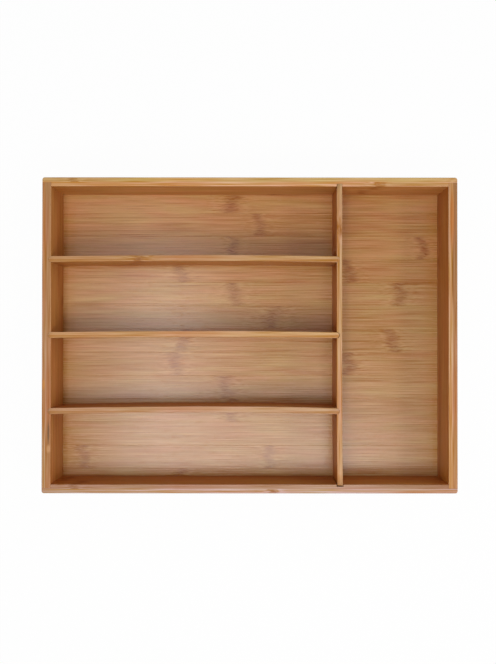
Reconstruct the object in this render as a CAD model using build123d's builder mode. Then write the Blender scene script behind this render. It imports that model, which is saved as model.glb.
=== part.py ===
from build123d import *
import os

# Bamboo cutlery tray: four grooved boards, a floor panel, one long divider and three short ones.
# Lengths are in millimetres. The origin lies under the middle of the tray, on the surface it rests on.
# +X points to the tall compartment, +Y to the back wall and +Z up.

# Whole tray
tray_length = 342.0
tray_depth = 260.0
tray_height = 50.0

# Boards
wall_thickness = 7.4
tongue_thickness = 4.2
corner_radius = 2.0
edge_radius = 0.6
divider_edge_radius = 0.3

# Floor panel
floor_thickness = 4.0
floor_lift = 3.0
groove_depth = 3.0
groove_headroom = 0.1
panel_gap = 0.3

# Long divider, which stands between the rows and the tall compartment
long_thickness = 4.4
tall_bay_width = 87.6
back_tenon = 1.9
front_tenon = 0.8
back_housing_depth = 2.2
front_housing_depth = 1.8
front_housing_width = 5.6

# Short dividers, which part the rows
short_thickness = 4.8
row_count = 4

# Clearances
fit = 0.1
overrun = 1.0

# Sizes worked out from the ones above
inner_length = tray_length - 2 * wall_thickness
inner_depth = tray_depth - 2 * wall_thickness
floor_top = floor_lift + floor_thickness
divider_height = tray_height - floor_top

long_right = inner_length / 2 - tall_bay_width
long_left = long_right - long_thickness
long_centre = long_right - long_thickness / 2
long_length = inner_depth + back_tenon + front_tenon
long_middle = (back_tenon - front_tenon) / 2

divider_count = row_count - 1
row_width = (inner_depth - divider_count * short_thickness) / row_count
row_pitch = row_width + short_thickness
row_left = -inner_length / 2
row_length = long_left - row_left
short_length = row_length + short_thickness
short_centre = row_left + row_length / 2

# A short divider's ends are full rounds that sit half their thickness deep in the boards beside them
short_places = [
    (short_centre, (number - (divider_count - 1) / 2) * row_pitch)
    for number in range(divider_count)
]
housing_length = short_length + 2 * fit
housing_width = short_thickness + 2 * fit


os.makedirs("parts", exist_ok=True)


# Back and front walls: boards as long as the tray, with a rabbet at each end that leaves a tongue
# over the side wall's end, a groove for the floor panel and a housing for the long divider
back_housing = (back_housing_depth, long_thickness + 2 * fit)
front_housing = (front_housing_depth, front_housing_width)
for name, facing, (housing_depth, slot_width) in (
    ("back_wall", 1, back_housing),
    ("front_wall", -1, front_housing),
):
    inner_face = facing * inner_depth / 2
    outer_face = facing * tray_depth / 2
    with BuildPart() as end_wall:
        with BuildSketch():
            with Locations((0, (inner_face + outer_face) / 2)):
                Rectangle(tray_length, wall_thickness)
        extrude(amount=tray_height)
        upright_edges = end_wall.edges().filter_by(Axis.Z).group_by(Axis.Y)
        fillet(upright_edges[-1 if facing > 0 else 0], radius=corner_radius)
        fillet(end_wall.edges().group_by(Axis.Z)[-1], radius=edge_radius)
        fillet(end_wall.edges().group_by(Axis.Z)[0], radius=edge_radius)
        # Rabbets, open at the ends and at the inner face
        rabbet_depth = wall_thickness - tongue_thickness
        with BuildSketch(Plane.XY.offset(-overrun)):
            with Locations((0, inner_face + facing * (rabbet_depth - overrun) / 2)):
                Rectangle(tray_length + 2 * overrun, rabbet_depth + overrun)
                Rectangle(inner_length, rabbet_depth + overrun, mode=Mode.SUBTRACT)
        extrude(amount=tray_height + 2 * overrun, mode=Mode.SUBTRACT)
        # Groove for the floor panel
        with BuildSketch(Plane.XY.offset(floor_lift)):
            with Locations((0, inner_face + facing * (groove_depth - overrun) / 2)):
                Rectangle(tray_length, groove_depth + overrun)
        extrude(amount=floor_thickness + groove_headroom, mode=Mode.SUBTRACT)
        # Housing for the long divider's end, which its left face closes
        with BuildSketch(Plane.XY.offset(-overrun)):
            slot_middle = long_left - fit + slot_width / 2
            with Locations((slot_middle, inner_face + facing * (housing_depth - overrun) / 2)):
                Rectangle(slot_width, housing_depth + overrun)
        extrude(amount=tray_height + 2 * overrun, mode=Mode.SUBTRACT)
    end_wall.part.label = name
    export_step(end_wall.part, f"parts/{name}.step")


# Left and right walls: square-ended boards between the tongues, with the floor panel's groove,
# and on the left one a housing for each short divider
side_length = tray_depth - 2 * tongue_thickness
for name, facing in (("left_wall", -1), ("right_wall", 1)):
    inner_face = facing * inner_length / 2
    outer_face = facing * tray_length / 2
    with BuildPart() as side_wall:
        with BuildSketch():
            with Locations(((inner_face + outer_face) / 2, 0)):
                Rectangle(wall_thickness, side_length)
        extrude(amount=tray_height)
        fillet(side_wall.edges().filter_by(Axis.Y), radius=edge_radius)
        with BuildSketch(Plane.XY.offset(floor_lift)):
            with Locations((inner_face + facing * (groove_depth - overrun) / 2, 0)):
                Rectangle(groove_depth + overrun, side_length)
        extrude(amount=floor_thickness + groove_headroom, mode=Mode.SUBTRACT)
        if facing < 0:
            with BuildSketch(Plane.XY.offset(-overrun)):
                with Locations(*short_places):
                    SlotOverall(housing_length, housing_width)
            extrude(amount=tray_height + 2 * overrun, mode=Mode.SUBTRACT)
    side_wall.part.label = name
    export_step(side_wall.part, f"parts/{name}.step")


# Floor panel: one laminated sheet whose edges lie in the grooves of all four walls
panel_reach = 2 * (groove_depth - panel_gap)
with BuildPart() as floor_panel:
    with BuildSketch(Plane.XY.offset(floor_lift)):
        Rectangle(inner_length + panel_reach, inner_depth + panel_reach)
    extrude(amount=floor_thickness)
floor_panel.part.label = "floor_panel"
export_step(floor_panel.part, "parts/floor_panel.step")


# Long divider: stands on the floor panel, with its ends in the back and front walls
# and the short dividers' round ends in its left face
with BuildPart() as long_divider:
    with BuildSketch(Plane.XY.offset(floor_top)):
        with Locations((long_centre, long_middle)):
            Rectangle(long_thickness, long_length)
    extrude(amount=divider_height)
    fillet(long_divider.edges().filter_by(Axis.Y).group_by(Axis.Z)[-1], radius=divider_edge_radius)
    with BuildSketch(Plane.XY.offset(floor_top)):
        with Locations(*short_places):
            SlotOverall(housing_length, housing_width)
    extrude(amount=divider_height, mode=Mode.SUBTRACT)
long_divider.part.label = "long_divider"
export_step(long_divider.part, "parts/long_divider.step")


# Short dividers: slats with full-round ends, standing on the floor panel, numbered from the front
for number, place in enumerate(short_places, start=1):
    with BuildPart() as short_divider:
        with BuildSketch(Plane.XY.offset(floor_top)):
            with Locations(place):
                SlotOverall(short_length, short_thickness)
        extrude(amount=divider_height)
        fillet(short_divider.edges().group_by(Axis.Z)[-1], radius=divider_edge_radius)
    short_divider.part.label = f"short_divider_{number}"
    export_step(short_divider.part, f"parts/short_divider_{number}.step")
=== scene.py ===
import math

import bmesh
import bpy
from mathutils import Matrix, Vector


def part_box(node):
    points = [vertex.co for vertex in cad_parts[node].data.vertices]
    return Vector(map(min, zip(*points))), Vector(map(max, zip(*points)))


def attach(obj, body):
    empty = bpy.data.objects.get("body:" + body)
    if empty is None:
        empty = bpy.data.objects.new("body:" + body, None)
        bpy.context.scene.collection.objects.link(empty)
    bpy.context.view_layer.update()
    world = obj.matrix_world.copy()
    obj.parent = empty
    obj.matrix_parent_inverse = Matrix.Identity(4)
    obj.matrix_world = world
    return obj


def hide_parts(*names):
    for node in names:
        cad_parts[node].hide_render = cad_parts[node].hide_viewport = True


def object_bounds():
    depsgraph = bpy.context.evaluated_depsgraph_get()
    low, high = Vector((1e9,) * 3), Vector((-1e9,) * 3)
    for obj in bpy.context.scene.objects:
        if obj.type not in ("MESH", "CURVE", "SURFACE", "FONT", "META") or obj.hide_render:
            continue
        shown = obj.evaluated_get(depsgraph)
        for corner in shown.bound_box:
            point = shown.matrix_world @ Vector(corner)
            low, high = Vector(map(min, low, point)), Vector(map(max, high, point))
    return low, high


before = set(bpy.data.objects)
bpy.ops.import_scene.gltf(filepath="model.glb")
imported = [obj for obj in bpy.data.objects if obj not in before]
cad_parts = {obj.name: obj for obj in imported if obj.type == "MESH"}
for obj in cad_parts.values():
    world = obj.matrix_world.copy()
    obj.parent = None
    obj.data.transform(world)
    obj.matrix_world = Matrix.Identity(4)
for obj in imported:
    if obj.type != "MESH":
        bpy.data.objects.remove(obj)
cad_low, cad_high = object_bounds()

# Sizes are in metres, unless a value's name ends in MM or the comment above it says mm
MM = 0.001
RIM = cad_high.z
FLOOR_LOW, FLOOR_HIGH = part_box("floor_panel")
TRAY_BODY = "root"

# The boards and the floor sheet are glued up from bamboo strips of this width
STRIP_WIDTH_MM = 20.3

WHITE = "#ffffff"

# The photograph's frame, how far off its middle the lens's axis meets it, and the camera
PHOTO_HEIGHT_PIXELS = 664
FOCAL_PIXELS = 818.3
AXIS_RIGHT_PIXELS = 12.2
AXIS_UP_PIXELS = 1.5
CAMERA_PLACE = (0.0081, -0.0014, 0.7230)
CAMERA_TILT_DEG = (0.447, -0.041, 0.048)
SENSOR_MM = 36.0
NEAREST_SEEN = 0.01


def linear(hex_colour):
    """An sRGB hex colour as the linear red, green, blue and alpha that a socket holds."""
    channels = [int(hex_colour[i:i + 2], 16) / 255 for i in (1, 3, 5)]
    return [c / 12.92 if c <= 0.04045 else ((c + 0.055) / 1.055) ** 2.4 for c in channels] + [1.0]


def add(tree, kind, inputs=None, **settings):
    """Adds a node with its settings. An input is a value, a socket, or a node whose first output counts."""
    node = tree.nodes.new(kind)
    for name, value in settings.items():
        setattr(node, name, value)
    for key, value in (inputs or {}).items():
        socket = node.inputs[key]
        if isinstance(value, bpy.types.Node):
            value = value.outputs[0]
        if isinstance(value, bpy.types.NodeSocket):
            tree.links.new(value, socket)
        else:
            socket.default_value = value
    return node


# Carbonised bamboo, sanded and lacquered satin. To the eye it is warm caramel with fine fibres along each
# strip, a soft brown ring of short dark dashes at each knuckle, and a broad soft shine.

# Layers of fibres: how long and wide their spots are, in mm, and how much detail a spot has. Real fibres are
# finer than half a millimetre and would not show in the render, so the finest ones are drawn that wide.
LAYERS = {
    "broad bands": (90, 8, 1.0),
    "bundles": (80, 2.2, 1.0),
    "fine fibres": (40, 0.5, 1.0),
    "lenses": (7, 1.2, 1.0),
    "pores": (7, 0.8, 1.0),
    "long streaks": (150, 0.8, 0.0),
    "drift": (110, 40, 1.0),
    "hue": (45, 7, 1.0),
}

# How much each layer makes the strip paler or browner, and the tones that are brownest and palest
LAYER_SHARES = {
    "bundles": 0.5,
    "fine fibres": 2.2,
    "broad bands": 0.4,
    "drift": 0.4,
    "long streaks": 0.9,
    "lenses": 1.7,
}
BROWNEST, PALEST = 0.085, 1.045

# What the strip's colour is multiplied by between the fibres and where they end, the two hues that it leans
# to, and how strongly its own layer turns it to them
BETWEEN_FIBRES = "#cea619"
FIBRE_ENDS = "#b58418"
ROSY, OLIVE = "#fff4f6", "#f9ffef"
HUE_CONTRAST = 2.5

# Where in their layer the pores start and are full, and how dark pores, a knuckle's patch and its dashes are
PORE_STARTS, PORE_FULL = 0.1, 0.25
PORE_DARK, PATCH_DARK, DASH_DARK = 0.08, 0.42, 0.55

# The ring of a knuckle wanders this far either way, in waves of this length and width. Its dark patch and the
# stretch round it fade out between these multiples of the knuckle's size.
RING_REACH_MM = 9.0
RING_WAVE_MM = (60, 9)
PATCH_FADES = (0.1, 1.1)
AROUND_FADES = (0.4, 3.5)

# Round a knuckle fibres swing from side to side by this much, and so many times as much again in its patch,
# in spots of this length and width
SWING_REACH_MM = 1.2
SWING_IN_PATCH = 2.4
SWING_SPOT_MM = (7, 3)

# One dash for each bundle of fibres as wide as this. It is shifted this far either way, its half length lies
# between the next two, and its ends bend aside by this share of a bundle's width from one side to the other.
# It fades out between these shares of its half length and half width, and the faintest one is this dark
# beside the darkest.
BUNDLE_MM = 2.9
DASH_SHIFT_MM = 3.0
HALF_DASHES_MM = (3.0, 6.0)
HALF_DASH_WIDTH_MM = 0.6
DASH_BEND = 0.6
DASH_FADES = (0.3, 1.2)
FAINTEST_DASH = 0.4

# Relief of the fibres under the lacquer, and how much pores and fine fibres count in it and in the shine
RELIEF_MM = 0.05
RELIEF_STRENGTH = 0.5
PORE_RELIEF, FINE_RELIEF = -0.6, 0.5
UNEVEN_SHINE = 0.1
LACQUER_IOR = 1.5


def uneven(tree, place, length_mm, width_mm, detail=1.0):
    """How bamboo varies from place to place, round zero, in spots of this length and width."""
    spot = (length_mm, width_mm, width_mm)
    place = add(tree, "ShaderNodeVectorMath", {0: place, 1: spot}, operation="DIVIDE")
    noise = add(tree, "ShaderNodeTexNoise", {"Vector": place, "Scale": 1.0, "Detail": detail})
    return add(tree, "ShaderNodeMath", {0: noise, 1: 0.5}, operation="SUBTRACT")


def chances(tree, key):
    """Three even chances, each from 0 to 1, that belong to one strip or bundle."""
    chance = add(tree, "ShaderNodeTexWhiteNoise", {"Vector": key}, noise_dimensions="3D")
    return add(tree, "ShaderNodeSeparateColor", {0: chance.outputs["Color"]}).outputs


def to_knuckle(tree, place, knuckles):
    """How far a place along the strip is from the nearer one of its two knuckles."""
    gaps = []
    for knuckle in knuckles:
        gap = add(tree, "ShaderNodeMath", {0: place, 1: knuckle}, operation="SUBTRACT")
        gaps.append(add(tree, "ShaderNodeMath", {0: gap}, operation="ABSOLUTE"))
    return add(tree, "ShaderNodeMath", {0: gaps[0], 1: gaps[1]}, operation="MINIMUM")


def knuckle_patch(tree, waved, knuckles, size):
    """The soft darker patch of a knuckle and the stretch round it, as two shares from 1 down to 0."""
    away = add(tree, "ShaderNodeMath", {0: to_knuckle(tree, waved, knuckles), 1: size}, operation="DIVIDE")
    shares = []
    for near, far in (PATCH_FADES, AROUND_FADES):
        fade = {"Value": away, "From Min": near, "From Max": far, "To Min": 1.0, "To Max": 0.0}
        shares.append(add(tree, "ShaderNodeMapRange", fade, interpolation_type="SMOOTHSTEP"))
    return shares


def knuckle_dashes(tree, across, waved, knuckles):
    """In the ring each bundle of fibres ends in a short dark dash, bent, of its own length and place."""
    bundle = add(tree, "ShaderNodeMath", {0: across, 1: BUNDLE_MM}, operation="DIVIDE")
    number = add(tree, "ShaderNodeMath", {0: bundle}, operation="FLOOR")
    key = add(tree, "ShaderNodeCombineXYZ", {0: number, 1: knuckles[0]})
    shift, length, strength = chances(tree, key)

    aside = add(tree, "ShaderNodeMath", {0: shift, 1: 0.5}, operation="SUBTRACT")
    place = add(tree, "ShaderNodeMath", {0: aside, 1: 2 * DASH_SHIFT_MM, 2: waved}, operation="MULTIPLY_ADD")
    shortest, longest = HALF_DASHES_MM
    half = add(tree, "ShaderNodeMapRange", {"Value": length, "To Min": shortest, "To Max": longest})
    dash_x = add(tree, "ShaderNodeMath", {0: to_knuckle(tree, place, knuckles), 1: half}, operation="DIVIDE")

    bend = add(tree, "ShaderNodeMath", {0: dash_x, 1: 2.0}, operation="POWER")
    bend = add(tree, "ShaderNodeMath", {0: bend, 1: aside}, operation="MULTIPLY")
    middle = add(tree, "ShaderNodeMath", {0: bundle}, operation="FRACT")
    middle = add(tree, "ShaderNodeMath", {0: middle, 1: 0.5}, operation="SUBTRACT")
    middle = add(tree, "ShaderNodeMath", {0: bend, 1: DASH_BEND, 2: middle}, operation="MULTIPLY_ADD")
    slimness = BUNDLE_MM / HALF_DASH_WIDTH_MM
    dash_y = add(tree, "ShaderNodeMath", {0: middle, 1: slimness}, operation="MULTIPLY")

    spot = add(tree, "ShaderNodeCombineXYZ", {0: dash_x, 1: dash_y})
    away = add(tree, "ShaderNodeVectorMath", {0: spot}, operation="LENGTH").outputs["Value"]
    near, far = DASH_FADES
    fade = {"Value": away, "From Min": near, "From Max": far, "To Min": 1.0, "To Max": 0.0}
    dash = add(tree, "ShaderNodeMapRange", fade, interpolation_type="SMOOTHSTEP")
    strength = add(tree, "ShaderNodeMapRange", {"Value": strength, "To Min": FAINTEST_DASH})
    return add(tree, "ShaderNodeMath", {0: dash, 1: strength}, operation="MULTIPLY")


def fibre_colour(tree, given, layers, pores, patch, dash):
    """Full colour on the pale bundles, browner between them and dark in pores, patch and dashes."""
    pale = given["Tone"]
    for name, share in LAYER_SHARES.items():
        pale = add(tree, "ShaderNodeMath", {0: layers[name], 1: share, 2: pale}, operation="MULTIPLY_ADD")
    pale = add(tree, "ShaderNodeMapRange", {"Value": pale, "From Min": BROWNEST, "From Max": PALEST})
    between, full = linear(BETWEEN_FIBRES), linear(WHITE)
    shade = add(tree, "ShaderNodeMix", {0: pale, 6: between, 7: full}, data_type="RGBA")

    dark = add(tree, "ShaderNodeMath", {0: pores, 1: PORE_DARK}, operation="MULTIPLY")
    dark = add(tree, "ShaderNodeMath", {0: patch, 1: PATCH_DARK, 2: dark}, operation="MULTIPLY_ADD")
    dark = add(
        tree, "ShaderNodeMath", {0: dash, 1: DASH_DARK, 2: dark}, operation="MULTIPLY_ADD", use_clamp=True,
    )
    ends = linear(FIBRE_ENDS)
    shade = add(tree, "ShaderNodeMix", {0: dark, 6: shade.outputs[2], 7: ends}, data_type="RGBA")

    lean = add(
        tree, "ShaderNodeMath", {0: layers["hue"], 1: HUE_CONTRAST, 2: 0.5}, operation="MULTIPLY_ADD",
        use_clamp=True,
    )
    hue = add(tree, "ShaderNodeMix", {0: lean, 6: linear(ROSY), 7: linear(OLIVE)}, data_type="RGBA")
    shade = add(tree, "ShaderNodeVectorMath", {0: hue.outputs[2], 1: shade.outputs[2]}, operation="MULTIPLY")
    return add(tree, "ShaderNodeVectorMath", {0: given["Pale"], 1: shade}, operation="MULTIPLY")


def bamboo_strip():
    """One glued strip of bamboo: fibres along x, its width along y and its thickness along z, all in mm."""
    tree = bpy.data.node_groups.new("bamboo strip", "ShaderNodeTree")
    for name, kind in (
        ("Grain", "NodeSocketVector"),
        ("Knuckle A", "NodeSocketFloat"),
        ("Knuckle B", "NodeSocketFloat"),
        ("Knuckle Size", "NodeSocketFloat"),
        ("Tone", "NodeSocketFloat"),
        ("Pale", "NodeSocketColor"),
        ("Roughness", "NodeSocketFloat"),
    ):
        tree.interface.new_socket(name, in_out="INPUT", socket_type=kind)
    for name, kind in (
        ("Color", "NodeSocketColor"),
        ("Roughness", "NodeSocketFloat"),
        ("Height", "NodeSocketFloat"),
    ):
        tree.interface.new_socket(name, in_out="OUTPUT", socket_type=kind)
    given = add(tree, "NodeGroupInput").outputs
    grain = given["Grain"]
    knuckles = (given["Knuckle A"], given["Knuckle B"])
    along, across, depth = add(tree, "ShaderNodeSeparateXYZ", {0: grain}).outputs

    # The ring where a leaf grew crosses the strip in a slightly wavy line
    wave = uneven(tree, grain, *RING_WAVE_MM)
    waved = add(tree, "ShaderNodeMath", {0: wave, 1: 2 * RING_REACH_MM, 2: along}, operation="MULTIPLY_ADD")
    patch, around = knuckle_patch(tree, waved, knuckles, given["Knuckle Size"])

    # Fibres swing from side to side in the patch and, less, around it
    swing = uneven(tree, grain, *SWING_SPOT_MM)
    reach = add(tree, "ShaderNodeMath", {0: patch, 1: SWING_IN_PATCH, 2: around}, operation="MULTIPLY_ADD")
    swing = add(tree, "ShaderNodeMath", {0: swing, 1: reach}, operation="MULTIPLY")
    across = add(tree, "ShaderNodeMath", {0: swing, 1: SWING_REACH_MM, 2: across}, operation="MULTIPLY_ADD")
    dash = knuckle_dashes(tree, across, waved, knuckles)

    # Bundles of fibres from wide to fine, short pores between them, and lens shapes round the ring
    fibres = add(tree, "ShaderNodeCombineXYZ", {0: along, 1: across, 2: depth})
    layers = {name: uneven(tree, fibres, *spots) for name, spots in LAYERS.items()}
    layers["lenses"] = add(tree, "ShaderNodeMath", {0: layers["lenses"], 1: around}, operation="MULTIPLY")
    span = {"Value": layers["pores"], "From Min": PORE_STARTS, "From Max": PORE_FULL}
    pores = add(tree, "ShaderNodeMapRange", span)
    colour = fibre_colour(tree, given, layers, pores, patch, dash)

    rough, height = given["Roughness"], layers["bundles"]
    for layer, relief in ((pores, PORE_RELIEF), (layers["fine fibres"], FINE_RELIEF)):
        rough = add(tree, "ShaderNodeMath", {0: layer, 1: UNEVEN_SHINE, 2: rough}, operation="MULTIPLY_ADD")
        height = add(tree, "ShaderNodeMath", {0: layer, 1: relief, 2: height}, operation="MULTIPLY_ADD")
    add(tree, "NodeGroupOutput", {0: colour, 1: rough, 2: height})
    return tree


STRIP = bamboo_strip()


def lacquered(name, strip_inputs, order, start_mm, shine):
    """Lacquered carbonised bamboo. order names the object axes along, across and through the strips, and
    start_mm says where in the pattern the origin lies."""
    material = bpy.data.materials.new(name)
    material.use_nodes = True
    tree = material.node_tree
    shader = tree.nodes["Principled BSDF"]
    place = add(tree, "ShaderNodeSeparateXYZ", {0: add(tree, "ShaderNodeTexCoord").outputs["Object"]})
    turned = add(tree, "ShaderNodeCombineXYZ", {i: place.outputs[axis] for i, axis in enumerate(order)})
    in_mm = {"Vector": turned, "Location": start_mm, "Scale": (1 / MM, 1 / MM, 1 / MM)}
    grain = add(tree, "ShaderNodeMapping", in_mm)
    strip = add(tree, "ShaderNodeGroup", {"Grain": grain, **strip_inputs(tree, grain)}, node_tree=STRIP)
    heights = {"Height": strip.outputs["Height"], "Strength": RELIEF_STRENGTH, "Distance": RELIEF_MM * MM}
    relief = add(tree, "ShaderNodeBump", heights)
    tree.links.new(strip.outputs["Color"], shader.inputs["Base Color"])
    tree.links.new(strip.outputs["Roughness"], shader.inputs["Roughness"])
    tree.links.new(relief.outputs[0], shader.inputs["Normal"])
    shader.inputs["IOR"].default_value = LACQUER_IOR
    shader.inputs["Specular IOR Level"].default_value = shine
    return material


# Object axes along, across and through the strips, of boards that run along x or y and of the sheet
ALONG_X, ALONG_Y, SHEET = (0, 2, 1), (1, 2, 0), (0, 1, 2)

# Specular level of the lacquer, and its roughness on the boards' faces, their top edges and the sheet
BOARD_SHINE, SHEET_SHINE = 0.2, 0.5
FACE_ROUGH, RIM_ROUGH, SHEET_ROUGH = 0.5, 0.32, 0.25

# A board's uppermost strip lost this much when the board was sawn, and its sanded top edge is this deep
SAWN_OFF_MM = 4.0
RIM_DEEP_MM = 0.5

# Strips of the boards: brownest and palest tone, smallest and largest knuckle, a knuckle's size on the top
# edge beside that on the face, how far at most a knuckle steps aside for each strip further down, and the way
# from one knuckle to the next
BOARD_TONES = (0.35, 0.75)
KNUCKLES_MM = (6.0, 10.0)
RIM_KNUCKLE_SHARE = 0.6
KNUCKLE_STEP_MM = 90.0
INTERNODE_MM = 320.0

# A mark fades out between these multiples of its half size
MARK_FADES = (0.5, 1.2)


def top_edge(tree, along, through, ply, edge_colours, marks):
    """Colour of a board's top edge: its two plies, and the marks on them."""
    low_colour, high_colour = (linear(colour) for colour in edge_colours)
    near, far = MARK_FADES
    edge = add(tree, "ShaderNodeMix", {0: ply, 6: low_colour, 7: high_colour}, data_type="RGBA")
    spot = add(tree, "ShaderNodeCombineXYZ", {0: along, 1: through})
    for middle, half, colour in marks:
        off = add(tree, "ShaderNodeVectorMath", {0: spot, 1: (*middle, 0.0)}, operation="SUBTRACT")
        off = add(tree, "ShaderNodeVectorMath", {0: off, 1: (*half, 1.0)}, operation="DIVIDE")
        off = add(tree, "ShaderNodeVectorMath", {0: off}, operation="LENGTH").outputs["Value"]
        there = add(tree, "ShaderNodeMapRange", {"Value": off, "From Min": far, "From Max": near})
        edge = add(tree, "ShaderNodeMix", {0: there, 6: edge.outputs[2], 7: linear(colour)}, data_type="RGBA")
    return edge.outputs[2]


def board_strips(face, low_ply, high_ply, marks):
    """Strips of a board. Its sanded top edge is paler than its face, whose colour carries painted shade, and
    shows its two plies and its marks.
    """
    def build(tree, grain):
        along, across, through = add(tree, "ShaderNodeSeparateXYZ", {0: grain}).outputs
        row = add(tree, "ShaderNodeMath", {0: across, 1: STRIP_WIDTH_MM}, operation="DIVIDE")
        row = add(tree, "ShaderNodeMath", {0: row}, operation="FLOOR")
        ply = add(tree, "ShaderNodeMath", {0: through, 1: 0.0}, operation="GREATER_THAN")
        which = add(tree, "ShaderNodeCombineXYZ", {0: row, 1: ply})
        light, step, large = chances(tree, which)
        brownest, palest = BOARD_TONES
        tone = add(tree, "ShaderNodeMapRange", {"Value": light, "To Min": brownest, "To Max": palest})
        rim_low = -SAWN_OFF_MM - RIM_DEEP_MM
        top = add(tree, "ShaderNodeMath", {0: across, 1: rim_low}, operation="GREATER_THAN")

        # The uppermost row is number -1, and its knuckles stay where the top edge shows them
        below = add(tree, "ShaderNodeMath", {0: row, 1: 1.0}, operation="ADD")
        step = add(tree, "ShaderNodeMath", {0: step, 1: below}, operation="MULTIPLY")
        first = add(tree, "ShaderNodeMapRange", {"Value": ply, "To Min": low_ply[0], "To Max": high_ply[0]})
        first = add(tree, "ShaderNodeMath", {0: step, 1: KNUCKLE_STEP_MM, 2: first}, operation="MULTIPLY_ADD")
        second = add(tree, "ShaderNodeMath", {0: first, 1: INTERNODE_MM}, operation="ADD")
        smallest, largest = KNUCKLES_MM
        size = add(tree, "ShaderNodeMapRange", {"Value": large, "To Min": smallest, "To Max": largest})
        slim = add(tree, "ShaderNodeMapRange", {"Value": top, "To Min": 1.0, "To Max": RIM_KNUCKLE_SHARE})
        size = add(tree, "ShaderNodeMath", {0: size, 1: slim}, operation="MULTIPLY")

        edge = top_edge(tree, along, through, ply, (low_ply[1], high_ply[1]), marks)
        # Faces take the board's face colour, which carries painted shade; the top edge takes its plies and
        # marks
        pale = add(tree, "ShaderNodeMix", {0: top, 6: linear(face), 7: edge}, data_type="RGBA")
        rough = add(tree, "ShaderNodeMapRange", {"Value": top, "To Min": FACE_ROUGH, "To Max": RIM_ROUGH})
        return {
            "Tone": tone,
            "Knuckle A": first,
            "Knuckle B": second,
            "Knuckle Size": size,
            "Pale": pale.outputs[2],
            "Roughness": rough,
        }
    return build


# The floor sheet's colour in its rosiest and in its most ochre strips, and what each strip carries. The ochre
# colour is partly the strips' own hue and partly painted sheen: it is paler and greyer, as the front strips
# look under the shine.
FLOOR_ROSY, FLOOR_OCHRE_WITH_SHEEN = "#ce9c64", "#caa06d"
CARRIED = ("knuckle_a", "knuckle_b", "knuckle_size", "tone", "ochre_with_sheen")


def sheet_strips(tree, grain):
    """Strips of the floor sheet. They carry their own knuckles, tone and hue, wherever they lie in it. The
    hue towards ochre is partly painted sheen.
    """
    carried = [add(tree, "ShaderNodeAttribute", attribute_name=name).outputs["Fac"] for name in CARRIED]
    knuckle_a, knuckle_b, size, tone, ochre_with_sheen = carried
    rosy, most_ochre_with_sheen = linear(FLOOR_ROSY), linear(FLOOR_OCHRE_WITH_SHEEN)
    # Strips lean from rosy to ochre; the ochre lean is partly their own hue and partly painted sheen
    pale = add(tree, "ShaderNodeMix", {0: ochre_with_sheen, 6: rosy, 7: most_ochre_with_sheen}, data_type="RGBA")
    return {
        "Tone": tone,
        "Knuckle A": knuckle_a,
        "Knuckle B": knuckle_b,
        "Knuckle Size": size,
        "Pale": pale.outputs[2],
        "Roughness": SHEET_ROUGH,
    }


# Each board: the way its fibres run, the colour of its faces, and for the ply on the side of lower x or y
# and the other one the place of a knuckle along the top edge, in mm, and the edge's colour. The face
# colours carry painted shade: they are darker and more saturated than the bamboo, most where a face stands
# in shade, as on the front board and the long divider.
BOARDS = {
    "back_wall": (ALONG_X, "#d69f66", (104.0, "#eec2a5"), (-143.6, "#dbb684")),
    "front_wall": (ALONG_X, "#be7c3c", (20.0, "#cdb3b8"), (-142.0, "#b38b7a")),
    "left_wall": (ALONG_Y, "#b97e47", (145.0, "#c79c82"), (145.0, "#bc8964")),
    "right_wall": (ALONG_Y, "#bb8045", (145.0, "#d7b094"), (145.0, "#b88664")),
    "long_divider": (ALONG_Y, "#af6c30", (90.0, "#d1a787"), (90.0, "#d1a787")),
    "short_divider_1": (ALONG_X, "#bb7b42", (90.0, "#c69c80"), (90.0, "#c69c80")),
    "short_divider_2": (ALONG_X, "#c5854b", (90.0, "#d3a780"), (90.0, "#d3a780")),
    "short_divider_3": (ALONG_X, "#cc9154", (-93.0, "#cea27c"), (-93.0, "#cea27c")),
}

# Marks on the top edges: place along and through the board from its middle, half length and half width, all
# in mm, and colour. The longest ones are stretches in which a ply is browner or paler. The left board has a
# torn fibre with bare wood beside it, and a paler fleck. The right one has a line of dark glue between its
# plies, and an oranger stretch at the back.
MARKS = {
    "back_wall": (
        ((135.0, -2.3), (60.0, 2.0), "#dcb490"),
        ((-65.0, 2.0), (50.0, 2.0), "#e9cb95"),
    ),
    "front_wall": (
        ((150.0, 2.3), (55.0, 2.0), "#a3775f"),
        ((150.0, -2.3), (55.0, 2.0), "#cba095"),
        ((12.0, 2.3), (38.0, 2.0), "#ac7f68"),
        ((-5.0, -2.3), (40.0, 2.0), "#c79f97"),
    ),
    "left_wall": (
        ((85.0, -2.3), (70.0, 2.0), "#cb956c"),
        ((-112.0, -2.3), (32.0, 2.0), "#cbad9c"),
        ((-80.0, 1.9), (10.0, 0.9), "#876854"),
        ((-93.5, 1.8), (3.4, 1.8), "#d8aa90"),
        ((-40.7, -2.1), (5.0, 1.2), "#dca974"),
    ),
    "right_wall": (
        ((90.0, 2.3), (75.0, 2.0), "#a97853"),
        ((-90.0, 2.3), (70.0, 2.0), "#c49571"),
        ((100.0, -0.8), (27.0, 1.8), "#d1935c"),
        ((47.8, -0.2), (25.0, 0.5), "#956021"),
    ),
}


def middle_mm(node, axis):
    """Middle of a CAD node along one axis."""
    low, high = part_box(node)
    return (low[axis] + high[axis]) / 2 / MM


def board_finish(node):
    """The lacquered bamboo of one board, named for it."""
    order, face, low_ply, high_ply = BOARDS[node]
    start_mm = (0.0, -RIM / MM - SAWN_OFF_MM, -middle_mm(node, order[2]))
    strips = board_strips(face, low_ply, high_ply, MARKS.get(node, ()))
    return lacquered(f"lacquered bamboo, {node}", strips, order, start_mm, BOARD_SHINE)


def dress_walls():
    """Gives the outer boards, whose CAD shape stays, their lacquered bamboo."""
    for node in ("back_wall", "front_wall", "left_wall", "right_wall"):
        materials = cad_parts[node].data.materials
        materials.clear()
        materials.append(board_finish(node))


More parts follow.
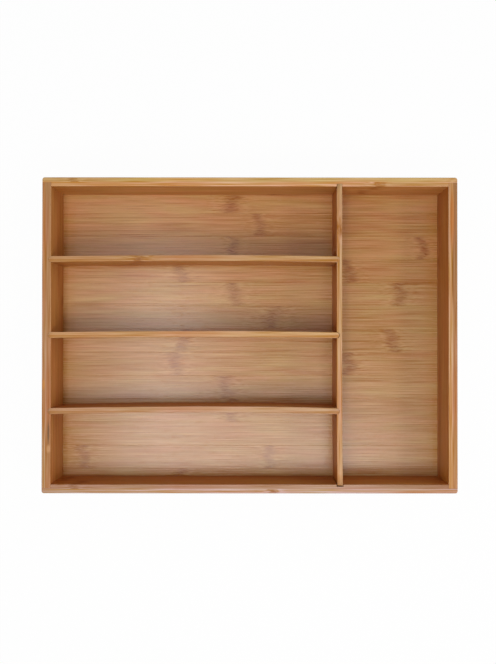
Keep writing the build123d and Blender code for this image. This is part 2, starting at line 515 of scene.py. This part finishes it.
# Each short divider: how far it bows towards the back, a little more on the right of its middle, and the play
# at its right end, all in mm
BOWED = {"short_divider_1": (1.5, 0.0), "short_divider_2": (0.95, 0.3), "short_divider_3": (1.0, 0.0)}
BOW_LEAN = 0.3

# A short divider's end is a round of END_RADIUS_MM, which glue and lacquer fill out to FILLED_END_MM. Points
# further out than END_SKIN_MM move for that, and points within PLAY_REACH_MM of the right end for its play.
END_RADIUS_MM = 2.4
FILLED_END_MM = 2.46
END_SKIN_MM = 2.0
PLAY_REACH_MM = 3.0

# From this place to its front end the long divider turns right, by this much at the end. Filling as thick as
# this closes the gap behind its back end, which is the points this near to it.
LONG_STRAIGHT_TO_MM = -20.0
FRONT_TURN_MM = 0.6
BACK_FILLING_MM = 0.2
BACK_END_MM = 0.1

# How many lengths a divider is cut into so that it can bend, how near points count as one, how square to an
# axis a face is to stay flat, and the angle from which an edge is sharp
CUTS = 24
SAME_POINT_MM = 0.001
FLAT = 0.999
SHARP_DEG = 25


def long_bend(place, low, high):
    """Where a point of the long divider really stands, in mm."""
    share = max(0.0, (place.y - LONG_STRAIGHT_TO_MM) / (low.y - LONG_STRAIGHT_TO_MM))
    filling = BACK_FILLING_MM if place.y > high.y - BACK_END_MM else 0
    return place + Vector((FRONT_TURN_MM * share ** 3, filling, 0))


def short_bend(bow, play):
    """For a short divider with this bow and play, the rule that says where its points really stand, in mm."""
    def bend(place, low, high):
        middle_y = (low.y + high.y) / 2
        for end_x, filled in ((low.x + END_RADIUS_MM, True), (high.x - END_RADIUS_MM, play == 0)):
            out = Vector((place.x - end_x, place.y - middle_y))
            outside = (place.x - end_x) * (1 if end_x > 0 else -1) > 0
            if filled and outside and out.length > END_SKIN_MM:
                out *= FILLED_END_MM / out.length
                place = Vector((end_x + out.x, middle_y + out.y, place.z))
        share = 2 * (place.x - low.x) / (high.x - low.x) - 1
        lift = bow * (1 - share ** 2) * (1 + BOW_LEAN * share)
        back = play if place.x > high.x - PLAY_REACH_MM else 0
        return place + Vector((-back, lift, 0))
    return bend


def divider_piece(node, cut_axis, bend):
    """A divider cut across into short lengths, with every corner moved by bend, in place of its CAD node."""
    low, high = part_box(node)
    mesh = bpy.data.meshes.new(f"{node}_bowed")
    shape = bmesh.new()
    shape.from_mesh(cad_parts[node].data)
    bmesh.ops.remove_doubles(shape, verts=shape.verts, dist=SAME_POINT_MM * MM)
    for cut in range(1, CUTS):
        geometry = shape.verts[:] + shape.edges[:] + shape.faces[:]
        bmesh.ops.bisect_plane(shape, geom=geometry, plane_co=low.lerp(high, cut / CUTS), plane_no=cut_axis)
    for vert in shape.verts:
        vert.co = bend(vert.co / MM, low / MM, high / MM) * MM
    shape.normal_update()
    for face in shape.faces:
        face.smooth = max(abs(part) for part in face.normal) < FLAT
    shape.to_mesh(mesh)
    shape.free()
    mesh.set_sharp_from_angle(angle=math.radians(SHARP_DEG))
    mesh.materials.append(board_finish(node))
    piece = bpy.data.objects.new(f"{node}_bowed", mesh)
    bpy.context.collection.objects.link(piece)
    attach(piece, TRAY_BODY)
    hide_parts(node)


def dividers():
    """The dividers as they really stand, with glue and lacquer round the ends that have no play."""
    divider_piece("long_divider", (0, 1, 0), long_bend)
    for node, (bow, play) in BOWED.items():
        divider_piece(node, (1, 0, 0), short_bend(bow, play))


# Floor sheet, strip by strip from the back: two knuckles in mm from the middle, their size in mm, a tone, and
# a hue from rosy at 0 to ochre at 1, which is partly the strip's own hue and partly painted sheen that grows
# towards the front. A knuckle that is FAR lies off the sheet.
FAR = 900.0
FLOOR_STRIPS = (
    (-17.0, FAR, 9.0, 0.80, 0.0),
    (9.0, FAR, 6.0, 0.56, 0.0),
    (-16.0, 148.0, 7.0, 0.74, 0.0),
    (-61.0, 86.0, 7.0, 0.60, 0.3),
    (-14.0, 131.0, 9.0, 0.70, 0.7),
    (21.0, FAR, 11.0, 0.65, 0.8),
    (-58.0, 125.0, 8.0, 0.60, 0.8),
    (-66.0, 85.0, 8.0, 0.56, 0.8),
    (-22.0, FAR, 9.0, 0.60, 0.9),
    (-16.0, FAR, 8.0, 0.50, 1.0),
    (-172.0, FAR, 7.0, 0.48, 1.0),
    (-146.0, 18.0, 7.0, 0.40, 1.0),
    (-60.0, FAR, 7.0, 0.50, 1.0),
)

# Place of the backmost seam between two strips, and the radius that a strip's corners are eased by at a seam
FIRST_SEAM_MM = 106.9
SEAM_MM = 0.12


def strip_tree():
    """Geometry nodes: every point becomes one strip of the sheet, as wide as the point says."""
    tree = bpy.data.node_groups.new("glued strips", "GeometryNodeTree")
    tree.interface.new_socket("Geometry", in_out="INPUT", socket_type="NodeSocketGeometry")
    for name in ("Strip Length", "Strip Width", "Thickness", "Seam"):
        tree.interface.new_socket(name, in_out="INPUT", socket_type="NodeSocketFloat")
    tree.interface.new_socket("Material", in_out="INPUT", socket_type="NodeSocketMaterial")
    tree.interface.new_socket("Geometry", in_out="OUTPUT", socket_type="NodeSocketGeometry")
    given = add(tree, "NodeGroupInput").outputs

    # One strip, drawn out from its left end to its right end
    half = add(tree, "ShaderNodeMath", {0: given["Strip Length"], 1: 0.5}, operation="MULTIPLY")
    other = add(tree, "ShaderNodeMath", {0: given["Strip Length"], 1: -0.5}, operation="MULTIPLY")
    start = add(tree, "ShaderNodeCombineXYZ", {0: other})
    end = add(tree, "ShaderNodeCombineXYZ", {0: half})
    line = add(tree, "GeometryNodeCurvePrimitiveLine", {"Start": start, "End": end})
    line = add(tree, "GeometryNodeSetCurveNormal", {"Curve": line}, mode="Z_UP")
    sizes = {"Width": given["Strip Width"], "Height": given["Thickness"]}
    section = add(tree, "GeometryNodeCurvePrimitiveQuadrilateral", sizes)
    section = add(tree, "GeometryNodeFilletCurve", {"Curve": section, "Radius": given["Seam"]}, mode="POLY")
    drawn = {"Curve": line, "Profile Curve": section, "Fill Caps": True}
    strip = add(tree, "GeometryNodeCurveToMesh", drawn)
    strip = add(tree, "GeometryNodeSetShadeSmooth", {"Geometry": strip, "Shade Smooth": False})

    # One on each point, stretched to that point's width
    width = add(tree, "GeometryNodeInputNamedAttribute", {"Name": "strip_width"}, data_type="FLOAT")
    ratio = add(tree, "ShaderNodeMath", {0: width, 1: given["Strip Width"]}, operation="DIVIDE")
    stretch = add(tree, "ShaderNodeCombineXYZ", {0: 1.0, 1: ratio, 2: 1.0})
    copies = {"Points": given["Geometry"], "Instance": strip, "Scale": stretch}
    placed = add(tree, "GeometryNodeInstanceOnPoints", copies)
    real = add(tree, "GeometryNodeRealizeInstances", {"Geometry": placed})
    finished = add(tree, "GeometryNodeSetMaterial", {"Geometry": real, "Material": given["Material"]})
    add(tree, "NodeGroupOutput", {0: finished})
    return tree


def settle(piece):
    """Turns a piece's modifiers into its plain mesh."""
    graph = bpy.context.evaluated_depsgraph_get()
    shaped = piece.evaluated_get(graph)
    mesh = bpy.data.meshes.new_from_object(shaped, preserve_all_data_layers=True, depsgraph=graph)
    piece.modifiers.clear()
    piece.data = mesh


def sheet_points():
    """One point for each strip of the floor sheet, which carries what is known of that strip."""
    seams = [FLOOR_HIGH.y / MM]
    seams += [FIRST_SEAM_MM - number * STRIP_WIDTH_MM for number in range(len(FLOOR_STRIPS) - 1)]
    seams += [FLOOR_LOW.y / MM]
    middle_x = (FLOOR_LOW.x + FLOOR_HIGH.x) / 2
    middle_z = (FLOOR_LOW.z + FLOOR_HIGH.z) / 2
    points = [(middle_x, (back + front) / 2 * MM, middle_z) for back, front in zip(seams, seams[1:])]
    mesh = bpy.data.meshes.new("floor_sheet")
    mesh.from_pydata(points, [], [])
    columns = dict(zip(CARRIED, zip(*FLOOR_STRIPS)))
    columns["strip_width"] = [(back - front) * MM for back, front in zip(seams, seams[1:])]
    for name, values in columns.items():
        mesh.attributes.new(name, "FLOAT", "POINT").data.foreach_set("value", values)
    return mesh


def floor_sheet():
    """The floor panel as the strips that it is glued from."""
    sheet = bpy.data.objects.new("floor_sheet", sheet_points())
    bpy.context.collection.objects.link(sheet)
    tree = strip_tree()
    modifier = sheet.modifiers.new("strips", "NODES")
    modifier.node_group = tree
    finish = lacquered("lacquered bamboo, floor sheet", sheet_strips, SHEET, (0.0, 0.0, 0.0), SHEET_SHINE)
    values = {
        "Strip Length": FLOOR_HIGH.x - FLOOR_LOW.x,
        "Strip Width": STRIP_WIDTH_MM * MM,
        "Thickness": FLOOR_HIGH.z - FLOOR_LOW.z,
        "Seam": SEAM_MM * MM,
        "Material": finish,
    }
    for item in tree.interface.items_tree:
        if item.in_out == "INPUT" and item.name in values:
            modifier[item.identifier] = values[item.name]
    settle(sheet)
    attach(sheet, TRAY_BODY)
    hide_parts("floor_panel")


# The sweep's half width, its height, which keeps its face off the tray's lowest plane, and how much of it is
# plain white to the camera
SWEEP_HALF = 6.0
SWEEP_HEIGHT = -0.05 * MM
SWEEP_WHITE = 0.97
PAPER = "#e7e7e7"

# Strength of the room's light on the tray. To the camera the room is white.
ROOM_LIGHT = 0.22

# Soft panels over and beside the tray: width and length, power in watts, place, and tilt in degrees
LAMPS = (
    ("front panel", (0.46, 0.20), 1.55, (0.0, -0.205, 0.55), (21.5, 0, 0)),
    ("high panel", (0.16, 0.52), 2.50, (-0.249, -0.026, 1.5), (1, -10, 0)),
    ("right strip", (0.10, 1.30), 0.86, (0.55, 0.0, 0.55), (0, 46.6, 0)),
    ("left side", (0.40, 1.30), 2.91, (-1.0, 0.0, 0.40), (0, -69.7, 0)),
    ("right side", (0.40, 1.30), 5.10, (1.0, 0.0, 0.40), (0, 69.7, 0)),
)


def seen(tree):
    """1 where a thing is seen, straight, mirrored or through glass, and 0 where only light meets it."""
    path = add(tree, "ShaderNodeLightPath").outputs
    straight, mirrored, through = (path[f"Is {kind} Ray"] for kind in ("Camera", "Glossy", "Transmission"))
    either = add(tree, "ShaderNodeMath", {0: straight, 1: mirrored}, operation="MAXIMUM")
    return add(tree, "ShaderNodeMath", {0: either, 1: through}, operation="MAXIMUM")


def ground():
    """White paper sweep under the tray. It takes light and shadow as paper does but is seen nearly white."""
    near, far = -SWEEP_HALF, SWEEP_HALF
    corners = [(x, y, SWEEP_HEIGHT) for x, y in ((near, near), (far, near), (far, far), (near, far))]
    mesh = bpy.data.meshes.new("ground")
    mesh.from_pydata(corners, [], [(0, 1, 2, 3)])
    sweep = bpy.data.objects.new("ground", mesh)
    bpy.context.collection.objects.link(sweep)
    material = bpy.data.materials.new("white paper sweep")
    material.use_nodes = True
    tree = material.node_tree
    tree.nodes.clear()
    paper = add(tree, "ShaderNodeBsdfDiffuse", {"Color": linear(PAPER)})
    glow = add(tree, "ShaderNodeEmission", {"Color": linear(WHITE), "Strength": 1.0})
    share = add(tree, "ShaderNodeMath", {0: seen(tree), 1: SWEEP_WHITE}, operation="MULTIPLY")
    mixed = add(tree, "ShaderNodeMixShader", {0: share, 1: paper, 2: glow})
    add(tree, "ShaderNodeOutputMaterial", {"Surface": mixed})
    mesh.materials.append(material)


def light():
    """Soft panels, and the even light of a white room."""
    world = bpy.data.worlds.new("white room")
    bpy.context.scene.world = world
    world.use_nodes = True
    tree = world.node_tree
    tree.nodes.clear()
    strength = add(tree, "ShaderNodeMapRange", {"Value": seen(tree), "To Min": ROOM_LIGHT, "To Max": 1.0})
    background = add(tree, "ShaderNodeBackground", {"Color": linear(WHITE), "Strength": strength})
    add(tree, "ShaderNodeOutputWorld", {"Surface": background})

    for name, (width, length), watts, place, tilt_deg in LAMPS:
        lamp = bpy.data.lights.new(name, "AREA")
        lamp.shape = "RECTANGLE"
        lamp.size = width
        lamp.size_y = length
        lamp.energy = watts
        panel = bpy.data.objects.new(name, lamp)
        panel.location = place
        panel.rotation_euler = [math.radians(angle) for angle in tilt_deg]
        bpy.context.collection.objects.link(panel)


def camera():
    """The photograph's camera, which looks all but straight down on the tray."""
    lens = bpy.data.cameras.new("camera")
    lens.sensor_width = SENSOR_MM
    lens.lens = FOCAL_PIXELS * SENSOR_MM / PHOTO_HEIGHT_PIXELS
    lens.shift_x = -AXIS_RIGHT_PIXELS / PHOTO_HEIGHT_PIXELS
    lens.shift_y = -AXIS_UP_PIXELS / PHOTO_HEIGHT_PIXELS
    lens.clip_start = NEAREST_SEEN
    stand = bpy.data.objects.new("camera", lens)
    stand.location = CAMERA_PLACE
    stand.rotation_euler = [math.radians(angle) for angle in CAMERA_TILT_DEG]
    bpy.context.collection.objects.link(stand)
    bpy.context.scene.camera = stand


dress_walls()
dividers()
floor_sheet()
ground()
light()
camera()
bpy.context.scene.view_settings.view_transform = "Standard"
